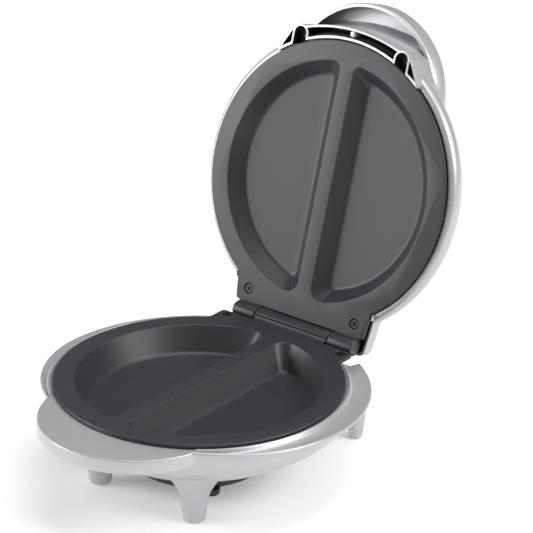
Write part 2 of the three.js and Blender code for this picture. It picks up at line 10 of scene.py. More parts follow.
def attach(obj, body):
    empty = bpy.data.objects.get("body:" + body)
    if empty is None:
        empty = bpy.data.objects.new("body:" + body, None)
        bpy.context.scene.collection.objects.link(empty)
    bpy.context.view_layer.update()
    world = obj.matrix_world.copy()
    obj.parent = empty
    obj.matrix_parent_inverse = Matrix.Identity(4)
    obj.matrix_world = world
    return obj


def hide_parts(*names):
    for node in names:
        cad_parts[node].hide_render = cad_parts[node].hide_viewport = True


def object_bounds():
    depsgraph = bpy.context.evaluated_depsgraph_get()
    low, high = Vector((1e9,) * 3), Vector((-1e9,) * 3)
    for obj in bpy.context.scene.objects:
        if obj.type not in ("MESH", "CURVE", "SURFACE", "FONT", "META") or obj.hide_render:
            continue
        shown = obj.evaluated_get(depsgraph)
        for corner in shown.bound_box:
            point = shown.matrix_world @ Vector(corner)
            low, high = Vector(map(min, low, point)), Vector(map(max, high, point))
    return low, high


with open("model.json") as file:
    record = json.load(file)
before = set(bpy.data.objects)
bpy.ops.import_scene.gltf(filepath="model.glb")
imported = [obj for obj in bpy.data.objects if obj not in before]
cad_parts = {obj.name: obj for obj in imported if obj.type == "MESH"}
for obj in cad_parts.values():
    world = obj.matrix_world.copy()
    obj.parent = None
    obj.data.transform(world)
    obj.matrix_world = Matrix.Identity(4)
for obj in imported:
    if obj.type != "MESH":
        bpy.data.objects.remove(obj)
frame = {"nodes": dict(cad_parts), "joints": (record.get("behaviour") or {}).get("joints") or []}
cad_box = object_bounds()

# --- Where things are -------------------------------------------------------------------------
# Every piece is drawn in millimetres from the middle of the lower plate's top face, x to the
# right and y towards the hinge. Lid pieces are drawn with the lid shut, then swung open.
hinge = frame["joints"][0]
HINGE_Y = 109.8
HINGE_Z = -0.34
hinge_at = Vector(hinge["pos_m"])
plate_at = hinge_at - Vector((0, HINGE_Y, HINGE_Z)) / 1000
ON_BASE = Matrix.Translation(plate_at) @ Matrix.Scale(0.001, 4)
swung_open = Matrix.Rotation(-math.radians(hinge["range_deg"][1]), 4, "X")
ON_LID = Matrix.Translation(hinge_at) @ swung_open @ Matrix.Translation(-hinge_at) @ ON_BASE

# --- Camera -----------------------------------------------------------------------------------
# Three-quarter view from the right, a little above the lid's middle, with a long lens.
VIEW_AZIMUTH = math.radians(37.63)
VIEW_ELEVATION = math.radians(23.80)
VIEW_ROLL = math.radians(1.09)
back = Vector((
    math.sin(VIEW_AZIMUTH) * math.cos(VIEW_ELEVATION),
    -math.cos(VIEW_AZIMUTH) * math.cos(VIEW_ELEVATION),
    math.sin(VIEW_ELEVATION),
))
right = Vector((math.cos(VIEW_AZIMUTH), math.sin(VIEW_AZIMUTH), 0))
up = back.cross(right)
camera_at = right * 45.67 + up * 78.94 + back * 1927.5
turned_right = right * math.cos(VIEW_ROLL) + up * math.sin(VIEW_ROLL)
turned_up = up * math.cos(VIEW_ROLL) - right * math.sin(VIEW_ROLL)
camera_data = bpy.data.cameras.new("camera")
camera_data.sensor_width = 36
camera_data.lens = 185.4
camera_data.clip_end = 20
camera = bpy.data.objects.new("camera", camera_data)
axes = Matrix((turned_right, turned_up, back)).transposed().to_4x4()
camera.matrix_world = Matrix.Translation(ON_BASE @ camera_at) @ axes
bpy.context.scene.collection.objects.link(camera)
bpy.context.scene.camera = camera

# --- Lower casing -----------------------------------------------------------------------------
# Silver-painted moulding: a bowl with a shelf round the plate, a flat handle in front, a box
# behind for the hinge, and four feet that grow out of the bowl. Its inside stays open.
BOWL = [(50, -50.5), (62, -47.2), (78, -41), (92, -33), (104, -24), (111, -14.5)]
HANDLE_R = 68
FOOT_BOTTOM = -72.8
PLATE_R = 103
PLATE_T = 3
GAP = 0.3
SMOOTH_UNDER = math.radians(33)


def scene_object(name, mesh):
    """Mesh data as an object in the scene."""
    made = bpy.data.objects.new(name, mesh)
    bpy.context.scene.collection.objects.link(made)
    return made


def skin(rings):
    """Closed body whose surface passes through rings of equal length, lowest first."""
    count = len(rings[0])
    last = (len(rings) - 1) * count
    faces = [
        (low + i, low + (i + 1) % count, low + count + (i + 1) % count, low + count + i)
        for low in range(0, last, count)
        for i in range(count)
    ]
    faces.append(tuple(range(count))[::-1])
    faces.append(tuple(range(last, last + count)))
    mesh = bpy.data.meshes.new("skin")
    mesh.from_pydata(np.vstack(rings).tolist(), [], faces)
    return scene_object("skin", mesh)


def ring(r, z, x=0, y=0, count=144):
    """Level circle."""
    turn = np.linspace(0, 2 * np.pi, count, endpoint=False)
    return np.column_stack((x + r * np.cos(turn), y + r * np.sin(turn), np.full(count, z)))


def turned(profile, x=0, y=0, count=48):
    """Lathe-turned body on an upright axis, from (radius, height) pairs."""
    return skin([ring(max(r, 0.02), z, x, y, count) for r, z in profile])


def swept(points, steps=6):
    """Smooth curve through points, by cubic pieces whose slopes come from their neighbours."""
    points = np.array(points, float)
    tangent = np.gradient(points, axis=0)
    out = []
    for i in range(len(points) - 1):
        for t in np.linspace(0, 1, steps, endpoint=False):
            out.append(
                (2 * t**3 - 3 * t**2 + 1) * points[i]
                + (t**3 - 2 * t**2 + t) * tangent[i]
                + (3 * t**2 - 2 * t**3) * points[i + 1]
                + (t**3 - t**2) * tangent[i + 1]
            )
    return [tuple(p) for p in out] + [tuple(points[-1])]


def rounded(outline, radius, steps=6):
    """Flat outline, anticlockwise, with each corner turned to an arc."""
    points = [Vector(p) for p in outline]
    out = []
    for i, corner in enumerate(points):
        before = (points[i - 1] - corner).normalized()
        after = (points[(i + 1) % len(points)] - corner).normalized()
        half = before.angle(after) / 2
        if half > math.radians(80):
            out.append(tuple(corner))
            continue
        centre = corner + (before + after).normalized() * radius / math.sin(half)
        start = corner + before * radius / math.tan(half) - centre
        end = corner + after * radius / math.tan(half) - centre
        for k in range(steps + 1):
            blend = start.lerp(end, k / steps)
            out.append(tuple(centre + blend.normalized() * radius))
    return out


def shrunk(outline, by):
    """Outline moved inwards by a distance, corner by corner."""
    points = np.array(outline, float)
    ahead = np.roll(points, -1, 0) - points
    ahead /= np.linalg.norm(ahead, axis=1)[:, None]
    behind = np.roll(ahead, 1, 0)
    inward = np.column_stack((-ahead[:, 1] - behind[:, 1], ahead[:, 0] + behind[:, 0]))
    inward /= np.linalg.norm(inward, axis=1)[:, None]
    reach = np.abs(inward[:, 0] * -ahead[:, 1] + inward[:, 1] * ahead[:, 0])
    return points + inward * (by / np.maximum(reach, 0.4))[:, None]


def slab(outline, low, high, low_edge=0.0, high_edge=0.0, steps=4):
    """Upright prism of an outline, with its lower and upper edges rounded."""
    levels = []
    for k in range(steps + 1):
        turn = k / steps * math.pi / 2
        levels.append((low_edge * (1 - math.sin(turn)), low + low_edge * (1 - math.cos(turn))))
        levels.append((high_edge * (1 - math.cos(turn)), high - high_edge * (1 - math.sin(turn))))
    levels = sorted({(round(i, 5), round(z, 5)) for i, z in levels}, key=lambda level: level[1])
    if not low_edge:
        levels = [level for level in levels if level[1] > low]
        levels.insert(0, (0, low))
    return skin([np.column_stack((shrunk(outline, i), np.full(len(outline), z))) for i, z in levels])


def along(axis, body):
    """Turns an upright body so that its axis lies along X or Y."""
    order = {
        "X": ((0, 0, 1, 0), (1, 0, 0, 0), (0, 1, 0, 0)),
        "Y": ((0, 1, 0, 0), (0, 0, 1, 0), (1, 0, 0, 0)),
    }
    body.data.transform(Matrix(order[axis] + ((0, 0, 0, 1),)))
    return body


def moved(body, x=0, y=0, z=0):
    """The body shifted in its own mesh."""
    body.data.transform(Matrix.Translation((x, y, z)))
    return body


def fitted(body, joined=(), cut=()):
    """The body with others joined to it, then others cut out of it, as one clean mesh."""
    for operation, tools in (("UNION", joined), ("DIFFERENCE", cut)):
        for tool in tools:
            step = body.modifiers.new(operation.lower(), "BOOLEAN")
            step.operation = operation
            step.solver = "MANIFOLD"
            step.object = tool
    shape = body.evaluated_get(bpy.context.evaluated_depsgraph_get())
    result = scene_object("fitted", bpy.data.meshes.new_from_object(shape))
    for used in (body, *joined, *cut):
        bpy.data.objects.remove(used)
    return result


def piece(name, body, place, rides_on, material, stands_for=()):
    """Finishes a body as a named piece: cleaned, smooth where it is smooth, placed and riding."""
    tidy = bmesh.new()
    tidy.from_mesh(body.data)
    bmesh.ops.remove_doubles(tidy, verts=tidy.verts, dist=0.003)
    bmesh.ops.dissolve_degenerate(tidy, edges=tidy.edges, dist=0.002)
    tidy.to_mesh(body.data)
    tidy.free()
    body.data.transform(place)
    body.data.shade_smooth()
    body.data.set_sharp_from_angle(angle=SMOOTH_UNDER)
    body.name = body.data.name = name
    finishes = material if isinstance(material, (list, tuple)) else [material]
    which = np.zeros(len(body.data.polygons), np.int32)
    if len(finishes) > 1:
        body.data.polygons.foreach_get("material_index", which)
    body.data.materials.clear()
    for finish in finishes:
        body.data.materials.append(finish)
    body.data.polygons.foreach_set("material_index", which)
    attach(body, rides_on)
    if stands_for:
        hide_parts(*stands_for)
    return body


MIX_FIRST, MIX_SECOND, MIX_COLOUR = 6, 7, 2


def coating(name, group, grain_mm, pale, dark, rough, relief_mm, metallic=0.0, specular=0.5, coat=0.0):
    """Procedural finish: two close shades, a roughness range and a fine relief from one grain."""
    made = bpy.data.materials.new(name)
    made.use_nodes = True
    tree = made.node_tree
    shader = tree.nodes["Principled BSDF"]
    shader.inputs["Metallic"].default_value = metallic
    shader.inputs["Specular IOR Level"].default_value = specular
    shader.inputs["Coat Weight"].default_value = coat
    grain = tree.nodes.new("ShaderNodeGroup")
    grain.node_tree = group
    grain.inputs["Grain mm"].default_value = grain_mm
    shade = tree.nodes.new("ShaderNodeMix")
    shade.data_type = "RGBA"
    shade.inputs[MIX_FIRST].default_value = (*dark, 1)
    shade.inputs[MIX_SECOND].default_value = (*pale, 1)
    tree.links.new(grain.outputs["Shade"], shade.inputs["Factor"])
    tree.links.new(shade.outputs[MIX_COLOUR], shader.inputs["Base Color"])
    gloss = tree.nodes.new("ShaderNodeMapRange")
    gloss.inputs["To Min"].default_value, gloss.inputs["To Max"].default_value = rough
    tree.links.new(grain.outputs["Grain"], gloss.inputs["Value"])
    tree.links.new(gloss.outputs["Result"], shader.inputs["Roughness"])
    relief = tree.nodes.new("ShaderNodeBump")
    relief.inputs["Distance"].default_value = relief_mm / 1000
    relief.inputs["Strength"].default_value = 1.0
    tree.links.new(grain.outputs["Grain"], relief.inputs["Height"])
    tree.links.new(relief.outputs["Normal"], shader.inputs["Normal"])
    return made


def grain_group(name, stretch, cloud_share, cells):
    """Shader group: a fine grain in millimetres, and a shade that mixes it with slow clouds."""
    group = bpy.data.node_groups.new(name, "ShaderNodeTree")
    group.interface.new_socket("Grain mm", in_out="INPUT", socket_type="NodeSocketFloat")
    group.interface.new_socket("Grain", in_out="OUTPUT", socket_type="NodeSocketFloat")
    group.interface.new_socket("Shade", in_out="OUTPUT", socket_type="NodeSocketFloat")
    nodes, links = group.nodes, group.links
    given = nodes.new("NodeGroupInput")
    result = nodes.new("NodeGroupOutput")
    place = nodes.new("ShaderNodeTexCoord")
    turn = nodes.new("ShaderNodeMapping")
    turn.inputs["Scale"].default_value = stretch
    links.new(place.outputs["Object"], turn.inputs["Vector"])
    per_metre = nodes.new("ShaderNodeMath")
    per_metre.operation = "DIVIDE"
    per_metre.inputs[0].default_value = 1000
    links.new(given.outputs["Grain mm"], per_metre.inputs[1])
    fine = nodes.new("ShaderNodeTexVoronoi" if cells else "ShaderNodeTexNoise")
    links.new(turn.outputs["Vector"], fine.inputs["Vector"])
    links.new(per_metre.outputs["Value"], fine.inputs["Scale"])
    grain = fine.outputs["Distance"] if cells else fine.outputs["Fac"]
    clouds = nodes.new("ShaderNodeTexNoise")
    clouds.inputs["Scale"].default_value = 14
    clouds.inputs["Detail"].default_value = 3
    links.new(place.outputs["Object"], clouds.inputs["Vector"])
    mixed = nodes.new("ShaderNodeMix")
    mixed.inputs["Factor"].default_value = cloud_share
    links.new(grain, mixed.inputs["A"])
    links.new(clouds.outputs["Fac"], mixed.inputs["B"])
    links.new(grain, result.inputs["Grain"])
    links.new(mixed.outputs["Result"], result.inputs["Shade"])
    return group


plain_grain = grain_group("plain_grain", (1, 1, 1), 0.5, False)
silver_paint = coating(
    "silver_paint", plain_grain, 0.5, (0.52, 0.525, 0.54), (0.46, 0.465, 0.48), (0.30, 0.42), 0.012,
    metallic=0.45, coat=0.15,
)

bowl_curve = swept(BOWL)


def bowl_height(r):
    """Height of the bowl's underside at a distance from its middle."""
    return float(np.interp(r, [p[0] for p in bowl_curve], [p[1] for p in bowl_curve]))


def shelf_ring(inset, drop):
    """Line round the shelf's outer edge: nearly a circle, short in front and lower behind."""
    turn = np.linspace(0, 2 * np.pi, 144, endpoint=False)
    x = (118.5 - inset) * np.cos(turn)
    y = (np.where(np.sin(turn) > 0, 120, 109) - inset) * np.sin(turn) + 4
    front = np.clip((-y - 50) / 45, 0, 1)
    z = -5.8 - 0.022 * y + 1.6 * front**2 * (3 - 2 * front) - drop
    push = np.maximum(1, (108.4 - 0.3 * inset) / np.hypot(x, y))
    return np.column_stack((x * push, y * push, z))


RIDGE = [
    (107.8, -4.3), (107.3, -3.6), (106.8, -2.6), (106.3, -1.8), (105.8, -1.4), (105.3, -1.5),
    (104.8, -2.2),
]
SHELF_EDGE = [
    (3, 4.4), (1.5, 3.6), (0.5, 2.6), (0.1, 1.9), (0, 1.3), (0.15, 0.75), (0.55, 0.3), (1.1, 0.06),
    (1.8, 0),
]
SHELF_SAG = 1.6
BOWL_R = BOWL[-1][0]
PULL_FROM_R = 80
shelf_reach = np.hypot(*shelf_ring(SHELF_EDGE[0][0], 0)[:, :2].T) - 1.2
pull_in = np.maximum(BOWL_R - shelf_reach, 0)
rings = []
for r, z in bowl_curve:
    level = ring(1, z)
    level[:, :2] *= (r - pull_in * np.clip((r - PULL_FROM_R) / (BOWL_R - PULL_FROM_R), 0, 1))[:, None]
    rings.append(level)
rings += [shelf_ring(inset, drop) for inset, drop in SHELF_EDGE]
for share in (0.15, 0.35, 0.55, 0.75, 0.9):
    hollow_shelf = rings[len(bowl_curve) + len(SHELF_EDGE) - 1] * (1 - share) + ring(*RIDGE[0]) * share
    hollow_shelf[:, 2] -= SHELF_SAG * share * (1 - share)
    rings.append(hollow_shelf)
rings += [ring(r, z) for r, z in RIDGE]
casing = skin(rings)


SKIRT_SINK = 0.12
SKIRT_RISE = 12
SKIRT_LAY = 1.6


def foot(x, y, stem, start, reach):
    """Tapered foot whose skirt sweeps out and runs into the bowl."""
    rings = [ring(r, z, x, y, 48) for r, z in stem]
    flat = ring(1, 0, 0, 0, 48)[:, :2]
    r0, z0 = stem[-1]
    skirt = np.array([x, y]) + flat * reach
    landing = np.array([bowl_height(np.hypot(*p)) for p in skirt]) + SKIRT_SINK
    beyond = np.array([bowl_height(np.hypot(*p)) for p in skirt + flat * 1.0]) + SKIRT_SINK
    for t in np.linspace(0, 1, 9)[1:]:
        rise, lean = (2 * t**3 - 3 * t**2 + 1), (t**3 - 2 * t**2 + t)
        lay = (t**3 - t**2) * start * SKIRT_LAY
        radius = rise * r0 + lean * start + (1 - rise) * reach + lay
        height = rise * z0 + lean * SKIRT_RISE + (1 - rise) * landing + lay * (beyond - landing)
        rings.append(np.column_stack((np.array([x, y]) + flat * radius, height)))
    rings.append(np.column_stack((skirt + flat * 0.1, landing + 1.2)))
    return skin(rings)


FRONT_STEM = [(6.6, -72.8), (7.3, -72.65), (7.8, -72.2), (8.1, -71.4), (9.3, -61), (10.3, -54)]
REAR_STEM = [
    (3.8, -72.8), (4.5, -72.6), (4.9, -72.1), (5.1, -71.3), (6.4, -60), (7.4, -50), (8.4, -40),
    (8.6, -30),
]
FRONT_FOOT = (42.9, -56.9)
REAR_FOOT = (55, 114)
feet = [foot(side * FRONT_FOOT[0], FRONT_FOOT[1], FRONT_STEM, 3, 17.5) for side in (-1, 1)]
feet += [turned(REAR_STEM, side * REAR_FOOT[0], REAR_FOOT[1]) for side in (-1, 1)]


def box_outline(half, front, rear, corner, taper=0.0, steps=8):
    """Outline of a box across the back, wider in front by a taper, its two rear corners rounded."""
    turn = np.linspace(0, math.pi / 2, steps + 1)
    right_arc = [(half - corner * (1 - math.cos(a)), rear - corner * (1 - math.sin(a))) for a in turn]
    left_arc = [(-x, y) for x, y in reversed(right_arc)]
    return [(-half - taper, front), (half + taper, front), *right_arc, *left_arc]


def box_rings(levels, corner, shrink=0.0, lift=0.0, taper=0.0):
    """Stack of such outlines for (half width, rear, height) levels."""
    return [
        np.column_stack((box_outline(h - shrink, 60, r - shrink, corner, taper), np.full(20, z + lift)))
        for h, r, z in levels
    ]


def oblong(x0, x1, y0, y1, z0, z1):
    """Plain rectangular cutter or block."""
    return slab([(x0, y0), (x1, y0), (x1, y1), (x0, y1)], z0, z1)


rear_box = swept([(46, 90, -47), (56, 108, -36), (61, 117, -22), (62.2, 118.2, -10)])
handle_outline = ring(HANDLE_R, 0, 0, -HANDLE_R, 160)[:, :2]
handle = slab(handle_outline, -13.6, -PLATE_T, low_edge=1.7, high_edge=1.0, steps=6)
deck = oblong(-62.2, 62.2, 80, 102, -16, -PLATE_T - GAP)
HOLLOW = [
    (50, -47.8), (62, -44.4), (77, -38.2), (90, -30.6), (98.6, -22), (102.6, -13.5), (100.2, -8.8),
    (100.2, 3),
]
FRONT_PAD_R = 6
REAR_PAD_R = 3.4
GLAND_Z = -29
pad_spots = [
    (side * x, y, r)
    for (x, y), r in ((FRONT_FOOT, FRONT_PAD_R), (REAR_FOOT, REAR_PAD_R))
    for side in (-1, 1)
]
SCREW_AT = [(-52, 96), (52, 96)]
over_handle = turned([(HANDLE_R - 0.9, -PLATE_T), (HANDLE_R - 0.9, 2)], 0, -HANDLE_R, 160)
casing = fitted(casing, cut=[over_handle])
casing = fitted(
    casing,
    joined=[handle, deck, skin(box_rings(rear_box, 9)), *feet],
    cut=[
        turned(HOLLOW, count=144),
        skin(box_rings(rear_box, 9, 2.5, 2)),
        turned([(PLATE_R + 1.1, -PLATE_T - GAP), (PLATE_R + 1.1, 3)], count=144),
        oblong(-62.4, 62.4, 70, 130, -PLATE_T - GAP, 3),
        turned([(44.2, -55), (44.2, -40)], count=96),
        moved(along("X", turned([(21.5, -62.4), (21.5, 62.4)], count=96)), 0, HINGE_Y, HINGE_Z),
        moved(along("Y", turned([(5.4, HINGE_Y - 2), (5.4, HINGE_Y + 12)], count=40)), 0, 0, GLAND_Z),
        *[
            turned([(r + GAP, FOOT_BOTTOM - 1), (r + GAP, FOOT_BOTTOM + 1.8)], x, y, 40)
            for x, y, r in pad_spots
        ],
        *[turned([(2.1, -12), (2.1, 0)], x, y, 24) for x, y in SCREW_AT],
    ],
)
piece("lower_casing_shell", casing, ON_BASE, "base", silver_paint, ["lower_casing"])

# --- Lower plate ------------------------------------------------------------------------------
# Die-cast aluminium with a dark non-stick coat: a round plate with two deep half-moon wells, a
# tab towards the hinge, and the middle knuckle. Two screws hold the tab down on the casing.
WELL_R = 88
DIVIDER_HALF = 6
WALL = 2.5
LOWER_WELL = 19
WELL_RUN = 9.2
WELL_FILLET = 4
TAB_HALF = 59.5
TAB_Y = 101
KNUCKLE_R = 6.3
LID_SCREW_AT = [(-48.5, 93.5), (48.5, 93.5)]
nonstick = coating(
    "nonstick_coat", plain_grain, 0.42, (0.033, 0.033, 0.040), (0.023, 0.023, 0.029),
    (0.36, 0.50), 0.035, specular=0.55,
)


def half_moon(side, inset, z):
    """Half-moon ring: a big arc, a straight side along the divider, two rounded corners."""
    r = WELL_R - inset
    corners = []
    for size in (6, 10):
        radius = max(size - 0.55 * inset, 4.4)
        x = DIVIDER_HALF + inset + radius
        y = math.sqrt((r - radius) ** 2 - x**2)
        corners.append((x, y, radius, math.atan2(y, x)))
    (x0, y0, front_r, front_meet), (x1, y1, rear_r, rear_meet) = corners
    parts = []
    for x, y, radius, start, end, steps in (
        (x0, -y0, front_r, math.pi, 2 * math.pi - front_meet, 12),
        (0, 0, r, -front_meet, rear_meet, 64),
        (x1, y1, rear_r, rear_meet, math.pi, 12),
    ):
        turn = np.linspace(start, end, steps + 1)
        level = np.full(len(turn), z)
        parts.append(np.column_stack((x + radius * np.cos(turn), y + radius * np.sin(turn), level)))
    points = np.vstack(parts)
    return points if side > 0 else (points * (-1, 1, 1))[::-1]


def well(side, depth, grow=0.0, lip=0.0):
    """Hollow of a well, filleted at its floor: grow gives its outside, lip rounds its mouth."""
    slope = math.atan(WELL_RUN / depth)
    bend = math.pi / 2 - slope
    foot_run = WELL_RUN + WELL_FILLET * math.tan(bend / 2)
    rings = []
    for turn in np.linspace(0, bend, 7):
        inset = foot_run - WELL_FILLET * math.sin(turn)
        rings.append(half_moon(side, inset - grow, -depth - grow + WELL_FILLET * (1 - math.cos(turn))))
    if lip:
        start = lip * math.tan(bend / 2)
        for turn in np.linspace(0, 1, 6):
            angle = bend * (1 - turn)
            inset = -start + lip * math.sin(angle)
            rings.append(half_moon(side, inset, -lip * (1 - math.cos(angle)) + 0.01 * turn))
        rings.append(half_moon(side, -start - 0.02, 1))
    else:
        rings.append(half_moon(side, -grow, 0))
    return skin(rings)


def cast_plate(depth, tab):
    """Plate facing up at height 0 with rounded rim, tab and both wells."""
    rim = [(PLATE_R - 0.6, -PLATE_T), (PLATE_R, -PLATE_T + 0.6), (PLATE_R, -0.9)]
    rim += [
        (PLATE_R - 0.9 * (1 - math.cos(a)), -0.9 + 0.9 * math.sin(a))
        for a in np.linspace(0.3, math.pi / 2, 5)
    ]
    tab_slab = slab(rounded(tab, 2.5), -PLATE_T, 0, 0.3, 0.5)
    return fitted(
        turned(rim, count=192),
        joined=[tab_slab, *[well(side, depth, WALL) for side in (-1, 1)]],
        cut=[well(side, depth, lip=1.1) for side in (-1, 1)],
    )


def knuckle(x0, x1, soft0=0.5, soft1=0.5):
    """Hinge barrel between two places across, its ends rounded."""
    quarter = np.linspace(0, math.pi / 2, 7)
    profile = [(KNUCKLE_R - soft0 * (1 - math.sin(a)), x0 + soft0 * (1 - math.cos(a))) for a in quarter]
    profile += [(KNUCKLE_R - soft1 * (1 - math.cos(a)), x1 - soft1 * (1 - math.sin(a))) for a in quarter]
    return moved(along("X", turned(profile)), 0, HINGE_Y, HINGE_Z)


def bore(x0, x1):
    """Hole for the hinge pin."""
    return moved(along("X", turned([(2.65, x0), (2.65, x1)], count=32)), 0, HINGE_Y, HINGE_Z)


def screw_seat(x, y):
    """Countersunk seat for a plate screw, opening upwards at height 0."""
    return turned([(2.1, -9), (2.1, -3), (3.9, -1.4), (3.9, -0.35), (4.25, 0.02), (4.25, 1)], x, y, 40)


MIDDLE_HALF = 33
FILLET = 2.5
reach = KNUCKLE_R + FILLET
lean = math.asin((FILLET - HINGE_Z) / reach)
fillet_y = HINGE_Y - reach * math.cos(lean)
fillet_arc = [
    (fillet_y + FILLET * math.sin(a), FILLET - FILLET * math.cos(a))
    for a in np.linspace(0, math.pi / 2 + lean, 9)
]
fillet_section = [(fillet_y - 0.4, -1), (HINGE_Y - 3, -1), (HINGE_Y - 3, fillet_arc[-1][1])]
fillet_section += [(y, z - 0.02) for y, z in reversed(fillet_arc)]
root_fillet = along("X", slab(fillet_section, -MIDDLE_HALF + 0.6, MIDDLE_HALF - 0.6))
web = oblong(-32, 32, TAB_Y - 1, HINGE_Y - 3, -PLATE_T, 0)
lower_tab = [(-TAB_HALF, 70), (TAB_HALF, 70), (TAB_HALF, TAB_Y), (-TAB_HALF, TAB_Y)]
lower_plate = fitted(
    cast_plate(LOWER_WELL, lower_tab),
    joined=[web, knuckle(-MIDDLE_HALF, MIDDLE_HALF), root_fillet],
    cut=[bore(-60, 60), *[screw_seat(x, y) for x, y in SCREW_AT]],
)
piece("lower_plate_cast", lower_plate, ON_BASE, "base", nonstick, ["lower_plate"])

# --- Bottom cover and cord gland ----------------------------------------------------------------
# Black moulded drum that closes the bowl from below; its four lugs keep the wound cord on.
# The gland at the back is a black bushing pressed into the hole for the cord.
COVER_R = 50
COVER_Z = -62
black_grain = grain_group("moulded_grain", (1, 1, 1), 0.35, True)
black_plastic = coating(
    "black_plastic", black_grain, 0.9, (0.020, 0.020, 0.022), (0.012, 0.012, 0.013), (0.42, 0.60), 0.03,
)
drum_profile = [
    (20, COVER_Z + 0.8), (20.6, COVER_Z), (47.1, COVER_Z), (48.5, COVER_Z + 0.35),
    (49.6, COVER_Z + 1.3), (COVER_R, COVER_Z + 2.6), (COVER_R, -51.2), (49.7, -50.9),
    (43.8, -50.9), (43.8, -47.3), (41.8, -47.3), (41.8, COVER_Z + WALL), (1, COVER_Z + WALL),
]
cover_hole = [
    (4.4, COVER_Z - 1), (4.4, COVER_Z), (4, COVER_Z + 0.4), (4, COVER_Z + 2.6),
    (1.9, COVER_Z + 2.6), (1.9, -49),
]
lug_profile = [(4.0, -66), (4.9, -65.75), (5.5, -65.2), (5.75, -64.3), (5.8, -63), (5.8, -61)]


def around(r, degrees):
    """Points at a distance from the middle, at the given angles."""
    return [(r * math.cos(math.radians(a)), r * math.sin(math.radians(a))) for a in degrees]


screw_spots = around(34, (90, 210, 330))
lug_spots = around(49, (40, 140, 220, 320))
cover = fitted(
    turned([(1, COVER_Z + 0.8)] + drum_profile, count=128),
    joined=[
        *[turned(lug_profile, x, y, 40) for x, y in lug_spots],
        *[turned([(4.2, COVER_Z + 1), (4.2, -49.4)], x, y, 32) for x, y in screw_spots],
    ],
    cut=[turned(cover_hole, x, y, 32) for x, y in screw_spots],
)
piece("bottom_cover_drum", cover, ON_BASE, "base", black_plastic, ["bottom_cover"])

gland_profile = [
    (3.3, HINGE_Y + 2), (5, HINGE_Y + 2), (5, HINGE_Y + 8.8), (7.1, HINGE_Y + 8.8),
    (7.4, HINGE_Y + 9.1), (7.4, HINGE_Y + 10.3), (6.9, HINGE_Y + 11), (5.8, HINGE_Y + 11.4),
    (4.2, HINGE_Y + 11.3), (3.5, HINGE_Y + 10.9), (3.3, HINGE_Y + 10.3),
]
gland = fitted(
    turned([(0.5, HINGE_Y + 2)] + gland_profile + [(0.5, HINGE_Y + 10.3)], count=64),
    cut=[turned([(3.3, HINGE_Y + 1), (3.3, HINGE_Y + 10), (3.6, HINGE_Y + 12)], count=64)],
)
gland = moved(along("Y", gland), 0, 0, GLAND_Z)
piece("cord_bushing", gland, ON_BASE, "base", black_plastic, ["cord_gland"])

# --- Foot pads and base screws -------------------------------------------------------------------
# Four soft grey pads pressed into the feet, three dark cross-slot screws that hold the cover, and
# two in the plate's tab. Each set is one shape set on its points by a node tree.
rubber = coating(
    "foot_rubber", plain_grain, 0.3, (0.36, 0.36, 0.35), (0.28, 0.28, 0.27), (0.7, 0.9), 0.03,
)
dark_steel = coating(
    "black_screw_steel", plain_grain, 0.25, (0.07, 0.07, 0.072), (0.03, 0.03, 0.031),
    (0.28, 0.45), 0.01, metallic=0.8,
)


def node_maker(tree):
    """Short way to add a node, with its values set or linked."""

    def add(kind, values=None, **settings):
        node = tree.nodes.new(kind)
        for key, value in settings.items():
            setattr(node, key, value)
        for key, value in (values or {}).items():
            if isinstance(value, bpy.types.NodeSocket):
                tree.links.new(value, node.inputs[key])
            else:
                node.inputs[key].default_value = value
        return node

    return add


def tree_with(name, inputs):
    """Empty geometry tree with named number inputs."""
    tree = bpy.data.node_groups.new(name, "GeometryNodeTree")
    tree.interface.new_socket("Geometry", in_out="INPUT", socket_type="NodeSocketGeometry")
    for label, kind in inputs:
        tree.interface.new_socket(label, in_out="INPUT", socket_type=kind)
    tree.interface.new_socket("Geometry", in_out="OUTPUT", socket_type="NodeSocketGeometry")
    return tree


def made_by(tree, points, values):
    """Plain mesh object that a tree makes from points and its named inputs."""
    mesh = bpy.data.meshes.new("points")
    mesh.from_pydata([p[:3] for p in points], [], [])
    spots = scene_object("points", mesh)
    step = spots.modifiers.new("made", "NODES")
    step.node_group = tree
    keys = {item.name: item.identifier for item in tree.interface.items_tree if item.in_out == "INPUT"}
    for label, value in values.items():
        step[keys[label]] = value
    shape = spots.evaluated_get(bpy.context.evaluated_depsgraph_get())
    result = scene_object("made", bpy.data.meshes.new_from_object(shape))
    bpy.data.objects.remove(spots)
    result.data.materials.clear()
    return result


FLOAT = "NodeSocketFloat"
screw_tree = tree_with("cross_slot_screw", [
    ("Head radius", FLOAT), ("Head depth", FLOAT), ("Shank radius", FLOAT), ("Length", FLOAT),
    ("Slot depth", FLOAT), ("Facing", "NodeSocketVector"), ("Finish", "NodeSocketMaterial"),
])
add = node_maker(screw_tree)
given = add("NodeGroupInput")


def product(a, b):
    """Product of two numbers or sockets in the screw tree."""
    return add("ShaderNodeMath", {0: a, 1: b}, operation="MULTIPLY").outputs[0]


def frustum(bottom, top, height, base):
    """Cone section in the screw tree standing on a base height."""
    made = add("GeometryNodeMeshCone", {
        "Vertices": 36, "Radius Top": top, "Radius Bottom": bottom, "Depth": height,
    })
    lift = add("ShaderNodeCombineXYZ", {"Z": base})
    return add("GeometryNodeTransform", {
        "Geometry": made.outputs["Mesh"], "Translation": lift.outputs[0],
    })


